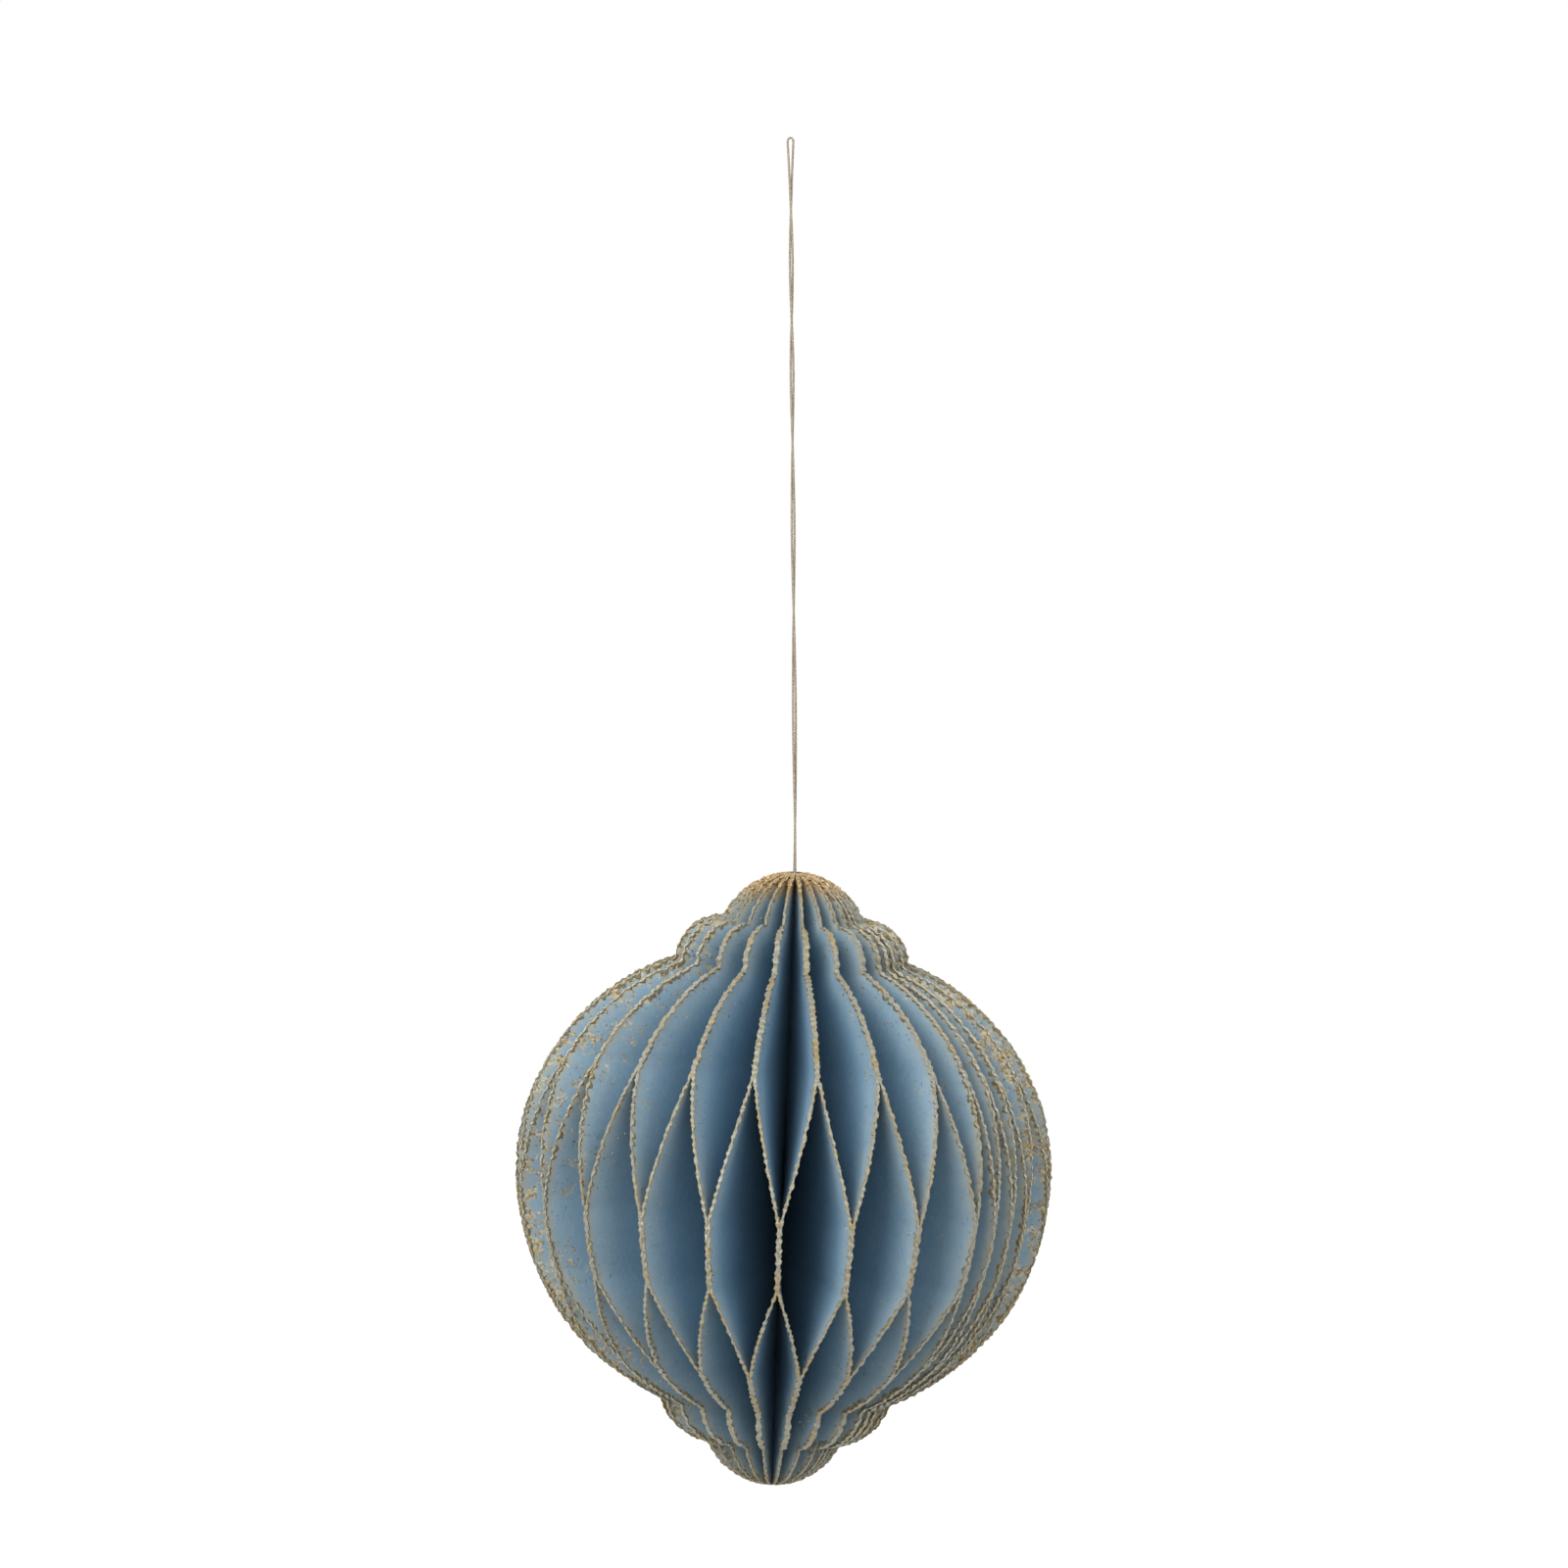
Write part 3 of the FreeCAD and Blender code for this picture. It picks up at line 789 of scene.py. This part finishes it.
# The crust's size along the edge: one point to each tooth, small lumps and wide patches
POINT_SHARPNESS = -2.2
POINT_SIZE = 1.35
BASE_SIZE = 0.52
LUMP_RUN = 1.1 * MM
LUMP_SIZE = 0.3
LUMP_START = -0.1
PATCH_RUN = 22 * MM
PATCH_RANGE = 2.6
PATCH_START = -0.4
LEAST_PATCH = 0.15
END_TAPER = 1.2 * MM
CRUST_STRIDE = 7.77
PATCH_SHIFT = 31.0
# Where the crust is slim: the crown but not its apex, and the foot, by heights from the body's top
SLIM_CROWN = (-14.2 * MM, -13.2 * MM)
FULL_APEX = (-4 * MM, -1 * MM)
SLIM_FOOT = (-158.8 * MM, -160 * MM)
SLIMMING = -0.65
# The space beside a leaf at its edge, which grows with the distance from the axis
ROOM_SLOPE = 0.045
ROOM_AT_AXIS = 0.1 * MM
INWARD_THINNING = -0.7
SHARD_LEVEL = 0.48
SHARD_SIZE = 0.17 * MM
SHARD_COUNT = 900
LEAST_DUST = 300
FULL_DUSTING_DUST = 2000
DUSTING_THINNING = 0.45 * MM
DUSTING_PILE_LOSS = 0.2 * MM
DUST_REACH = 9 * MM
DUST_CROWDING = 2.2
DUST_COARSENESS = 2.4
DUST_HEIGHT = 0.6 * PAPER_THICKNESS
BARE_RUN = 18 * MM
BARE_RANGE = (0.3, 0.65)
CRUST_INPUTS = {
    **PLACE_INPUTS,
    **TORN_INPUTS,
    "Crust thickness": "Float",
    "Crust pile": "Float",
    "Crust width": "Float",
    "Crust lip": "Float",
    "Shard size": "Float",
    "Shard count": "Int",
    "Dust count": "Int",
    "Dust reach": "Float",
    "Glitter seed": "Int",
    "Dusting": "Float",
    "Gilding": "Material",
}
gilt_tree, given, made = new_tree("Glitter crust", CRUST_INPUTS)
tree = gilt_tree
edge_line = join_tree(tree, torn_tree, {name: given[name] for name in ("Geometry", *TORN_INPUTS)})
edge_length = place_node(tree, "GeometryNodeCurveLength", {0: edge_line}).outputs[0]


def edge_at(tree, share):
    """The place on the torn edge at a share of its length, and the direction out across it."""
    spot = place_node(
        tree,
        "GeometryNodeSampleCurve",
        {"Curves": edge_line, "Factor": share},
        mode="FACTOR",
        use_all_curves=True,
    )
    return spot.outputs["Position"], outward_of(tree, spot.outputs["Tangent"])


def crust_sizes(tree, share):
    """How far in the crust reaches and how thick it is, at a share of the edge's length."""
    run = math_of(tree, "MULTIPLY", share, edge_length)
    shift = math_of(tree, "MULTIPLY", given["Glitter seed"], CRUST_STRIDE)
    lumps = line_noise(tree, run, 1 / LUMP_RUN, shift)
    patches = line_noise(tree, run, 1 / PATCH_RUN, math_of(tree, "ADD", shift, PATCH_SHIFT))
    tooth_place = math_of(tree, "ADD", math_of(tree, "DIVIDE", run, given["Tooth length"]), shift)
    point = place_node(
        tree, "ShaderNodeTexVoronoi", {"W": tooth_place, "Scale": 1.0}, voronoi_dimensions="1D"
    ).outputs["Distance"]
    point = math_of(tree, "MAXIMUM", math_of(tree, "MULTIPLY_ADD", point, POINT_SHARPNESS, 1.0), 0.0)
    point_size = math_of(tree, "MULTIPLY_ADD", point, POINT_SIZE, BASE_SIZE)
    lump_size = math_of(tree, "MULTIPLY_ADD", lumps, LUMP_SIZE, LUMP_START)
    patch_size = math_of(tree, "MULTIPLY_ADD", patches, PATCH_RANGE, PATCH_START)
    patch_size = math_of(tree, "MAXIMUM", patch_size, LEAST_PATCH)
    to_end = math_of(tree, "MINIMUM", run, math_of(tree, "SUBTRACT", edge_length, run))
    taper = eased(tree, to_end, 0.0, END_TAPER)
    size = math_of(tree, "MULTIPLY", math_of(tree, "ADD", point_size, lump_size), taper)
    width = math_of(tree, "MULTIPLY", math_of(tree, "MULTIPLY", size, patch_size), given["Crust width"])
    return width, math_of(tree, "MULTIPLY", size, given["Crust thickness"]), taper


def slimness(tree, height):
    """The crust's thickness at a height as a share of its full size on the ball."""
    above = eased(tree, height, *SLIM_CROWN)
    above = math_of(tree, "SUBTRACT", above, eased(tree, height, *FULL_APEX))
    below = eased(tree, height, *SLIM_FOOT)
    return math_of(tree, "MULTIPLY_ADD", math_of(tree, "ADD", above, below), SLIMMING, 1.0)


grid = place_node(
    tree,
    "GeometryNodeMeshGrid",
    {"Size X": 1.0, "Size Y": 1.0, "Vertices X": CRUST_RING + 1, "Vertices Y": CRUST_ROWS},
)
flat = split_vector(tree, place_node(tree, "GeometryNodeInputPosition").outputs[0])
column = math_of(tree, "ROUND", math_of(tree, "MULTIPLY_ADD", flat["X"], CRUST_RING, CRUST_RING / 2))
around = math_of(tree, "MULTIPLY", math_of(tree, "ADD", column, 0.5), math.tau / CRUST_RING)
row_share = math_of(tree, "ADD", flat["Y"], 0.5)
edge_spot, outward = edge_at(tree, row_share)
crust_width, crust_thickness, taper = crust_sizes(tree, row_share)
edge_parts = split_vector(tree, edge_spot)
room = math_of(tree, "MULTIPLY_ADD", edge_parts["X"], ROOM_SLOPE, ROOM_AT_AXIS)
half_thickness = math_of(tree, "MULTIPLY", crust_thickness, 0.5)
half_thickness = math_of(tree, "MULTIPLY", half_thickness, slimness(tree, edge_parts["Z"]))
half_thickness = math_of(tree, "MINIMUM", half_thickness, room)


def squared(tree, wave):
    """A wave with flatter tops, which turns a round section into a band with round corners."""
    size = math_of(tree, "POWER", math_of(tree, "ABSOLUTE", wave), 0.5)
    return math_of(tree, "MULTIPLY", size, math_of(tree, "SIGN", wave))


across = squared(tree, math_of(tree, "COSINE", around))
inward_share = math_of(tree, "MULTIPLY_ADD", across, -0.5, 0.5)
lip = math_of(tree, "MULTIPLY", given["Crust lip"], taper)
inward = math_of(tree, "SUBTRACT", math_of(tree, "MULTIPLY", crust_width, inward_share), lip)
ring_spot = vector_sum(tree, edge_spot, outward, math_of(tree, "MULTIPLY", inward, -1.0))
sideways = math_of(tree, "MULTIPLY", squared(tree, math_of(tree, "SINE", around)), half_thickness)
thinning = math_of(tree, "MULTIPLY_ADD", inward_share, INWARD_THINNING, 1.0)
sideways = math_of(tree, "MULTIPLY", sideways, thinning)
ring_spot = vector_sum(tree, ring_spot, ACROSS_SHEET, sideways)
grains = place_node(tree, "ShaderNodeTexNoise", {"Vector": ring_spot, "Scale": 1800.0, "Detail": 1.0})
grains = place_node(
    tree, "ShaderNodeVectorMath", {0: grains.outputs["Color"], 1: (0.5, 0.5, 0.5)}, operation="SUBTRACT"
)
grain_size = math_of(tree, "MULTIPLY", taper, CRUST_ROUGHNESS)
ring_spot = vector_sum(tree, ring_spot, grains.outputs[0], grain_size)
crust = place_node(
    tree, "GeometryNodeSetPosition", {"Geometry": grid.outputs["Mesh"], "Position": ring_spot}
)
crust = place_node(
    tree, "GeometryNodeMergeByDistance", {"Geometry": crust.outputs[0], "Distance": MERGE_REACH}
)


def random_number(tree, low, high, seed):
    """A different number for each point, drawn with the leaf's glitter seed."""
    leaf_seed = math_of(tree, "ADD", given["Glitter seed"], float(seed))
    sockets = {2: low, 3: high, "Seed": leaf_seed}
    return place_node(tree, "FunctionNodeRandomValue", sockets, data_type="FLOAT").outputs[1]


def scatter_shards(tree, points, seed, coarseness):
    """Thin three-cornered glitter shards turned every way on a set of points."""
    shard = place_node(
        tree,
        "GeometryNodeMeshCone",
        {"Vertices": 3, "Radius Top": 0.0, "Radius Bottom": 1.0, "Depth": 0.5},
        fill_type="TRIANGLE_FAN",
    )
    turned = vector_of(tree, *[random_number(tree, 0.0, math.tau, seed + turn) for turn in range(3)])
    size = math_of(tree, "MULTIPLY", random_number(tree, 0.5, 1.3, seed + 3), given["Shard size"])
    size = math_of(tree, "MULTIPLY", size, coarseness)
    scale = vector_of(tree, size, size, size)
    return place_node(
        tree,
        "GeometryNodeInstanceOnPoints",
        {"Points": points, "Instance": shard.outputs[0], "Rotation": turned, "Scale": scale},
    ).outputs[0]


# Shards in the crust, on both sides and along the lip
points = place_node(
    tree, "GeometryNodeMeshLine", {"Count": given["Shard count"], "Offset": (0.0, 0.0, 0.0)}
).outputs[0]
share = random_number(tree, 0.004, 0.996, 11)
edge_spot, outward = edge_at(tree, share)
crust_width, crust_thickness, _ = crust_sizes(tree, share)
around = random_number(tree, 0.0, math.tau, 12)
across = squared(tree, math_of(tree, "COSINE", around))
inward_share = math_of(tree, "MULTIPLY_ADD", across, -0.5, 0.5)
inward = math_of(tree, "SUBTRACT", math_of(tree, "MULTIPLY", crust_width, inward_share), given["Crust lip"])
spot = vector_sum(tree, edge_spot, outward, math_of(tree, "MULTIPLY", inward, -1.0))
thin = math_of(tree, "MULTIPLY", slimness(tree, split_vector(tree, edge_spot)["Z"]), SHARD_LEVEL)
sideways = math_of(tree, "MULTIPLY", squared(tree, math_of(tree, "SINE", around)), thin)
sideways = math_of(tree, "MULTIPLY", sideways, crust_thickness)
spot = vector_sum(tree, spot, ACROSS_SHEET, sideways)
points = place_node(tree, "GeometryNodeSetPosition", {"Geometry": points, "Position": spot}).outputs[0]
shards = scatter_shards(tree, points, 20, 1.0)

# Dust on the card beside the crust, thinner further in
points = place_node(
    tree, "GeometryNodeMeshLine", {"Count": given["Dust count"], "Offset": (0.0, 0.0, 0.0)}
).outputs[0]
share = random_number(tree, 0.01, 0.99, 31)
edge_spot, outward = edge_at(tree, share)
inward = math_of(tree, "POWER", random_number(tree, 0.0, 1.0, 32), DUST_CROWDING)
inward = math_of(tree, "MULTIPLY", inward, given["Dust reach"])
spot = vector_sum(tree, edge_spot, outward, math_of(tree, "MULTIPLY", inward, -1.0))
other_face = math_of(tree, "ROUND", random_number(tree, 0.0, 1.0, 33))
sideways = math_of(tree, "MULTIPLY_ADD", other_face, 2 * DUST_HEIGHT, -DUST_HEIGHT)
spot = vector_sum(tree, spot, ACROSS_SHEET, sideways)
run = math_of(tree, "MULTIPLY", share, edge_length)
bare = line_noise(tree, run, 1 / BARE_RUN, given["Glitter seed"])
bare = math_of(tree, "LESS_THAN", bare, random_number(tree, *BARE_RANGE, 34))
points = place_node(tree, "GeometryNodeSetPosition", {"Geometry": points, "Position": spot}).outputs[0]
points = place_node(
    tree, "GeometryNodeDeleteGeometry", {"Geometry": points, "Selection": bare}, domain="POINT"
).outputs[0]
dust = scatter_shards(tree, points, 40, DUST_COARSENESS)

# Two crusts lie side by side where leaves are glued, so each stands off its glue face by the pile
piled = tree.nodes.new("GeometryNodeJoinGeometry")
gilding = tree.nodes.new("GeometryNodeJoinGeometry")
for layer in (crust.outputs[0], shards):
    tree.links.new(layer, piled.inputs[0])
height = split_vector(tree, place_node(tree, "GeometryNodeInputPosition").outputs[0])["Z"]
crust_pile = math_of(tree, "MULTIPLY", given["Crust pile"], slimness(tree, height))
for layer, pile in ((piled.outputs[0], crust_pile), (dust, 0.0)):
    layer = place_node(tree, "GeometryNodeRealizeInstances", {0: layer}).outputs[0]
    layer = join_tree(
        tree, place_tree, {"Geometry": layer, "Pile": pile, **{name: given[name] for name in PLACE_INPUTS}}
    )
    tree.links.new(layer, gilding.inputs[0])
gilding = stored(tree, gilding.outputs[0], "dusting", given["Dusting"])
gilding = place_node(tree, "GeometryNodeSetMaterial", {"Geometry": gilding, "Material": given["Gilding"]})
tree.links.new(gilding.outputs[0], made)

# The glitter's finish: champagne gold with deeper gold in patches, and orange gold on the crown's apex
GLITTER_STOPS = [
    (0.1, (0.16, 0.09, 0.025)),
    (0.34, (0.30, 0.21, 0.07)),
    (0.45, (0.215, 0.195, 0.13)),
    (0.8, (0.25, 0.245, 0.20)),
]
CROWN_STOPS = [(0.2, (0.16, 0.085, 0.025)), (0.8, (0.46, 0.31, 0.13))]
CROWN_STRENGTH = 0.85
FLECK_CONTRAST = 0.4
PALENESS_SHIFT = -0.09
DUSTING_DEEPENING = -0.14
gold_glitter, tree, shader = new_material("gold_glitter", 0.55)
shader.inputs["Metallic"].default_value = 0.35
place = place_node(tree, "ShaderNodeTexCoord").outputs["Object"]
flecks = place_node(tree, "ShaderNodeTexVoronoi", {"Vector": place, "Scale": 2600.0})
fleck_shade = split_vector(tree, flecks.outputs["Color"])["X"]
patches = noise_of(tree, place, 130.0, 3.0)
dusting = place_node(tree, "ShaderNodeAttribute", attribute_name="dusting").outputs["Fac"]
paleness = math_of(tree, "MULTIPLY_ADD", dusting, DUSTING_DEEPENING, PALENESS_SHIFT)
paleness = math_of(tree, "ADD", patches, paleness)
paleness = math_of(tree, "MULTIPLY_ADD", fleck_shade, FLECK_CONTRAST, paleness)
gold_colour = colour_ramp(tree, paleness, GLITTER_STOPS)
crown_gold = colour_ramp(tree, fleck_shade, CROWN_STOPS)
on_crown = eased(tree, split_vector(tree, place)["Z"], CROWN_GOLD_START, CROWN_GOLD_FULL)
crown_share = math_of(tree, "MULTIPLY", on_crown, CROWN_STRENGTH)
gold_colour = mixed_colour(tree, crown_share, gold_colour, crown_gold)
tree.links.new(gold_colour, shader.inputs["Base Color"])
add_bump(tree, shader, flecks.outputs["Distance"], 0.4, 0.08 * MM)

# A dusted cell's crust is thinner, with more of its glitter fallen on the card
for number, (outline, shared_values) in leaf_plans.items():
    dusting = shared_values["Dusting"]
    gilt_mesh = grow_mesh(
        f"gilt_edge_{number:02d}",
        outline,
        gilt_tree,
        {
            **shared_values,
            "Crust thickness": FULL_THICKNESS - DUSTING_THINNING * dusting,
            "Crust pile": FULL_PILE - DUSTING_PILE_LOSS * dusting,
            "Crust width": CRUST_WIDTH,
            "Crust lip": CRUST_LIP,
            "Shard size": SHARD_SIZE,
            "Shard count": SHARD_COUNT,
            "Dust count": round(LEAST_DUST + FULL_DUSTING_DUST * dusting),
            "Dust reach": DUST_REACH,
            "Glitter seed": number,
            "Gilding": gold_glitter,
        },
    )
    add_piece(gilt_mesh.name, gilt_mesh)
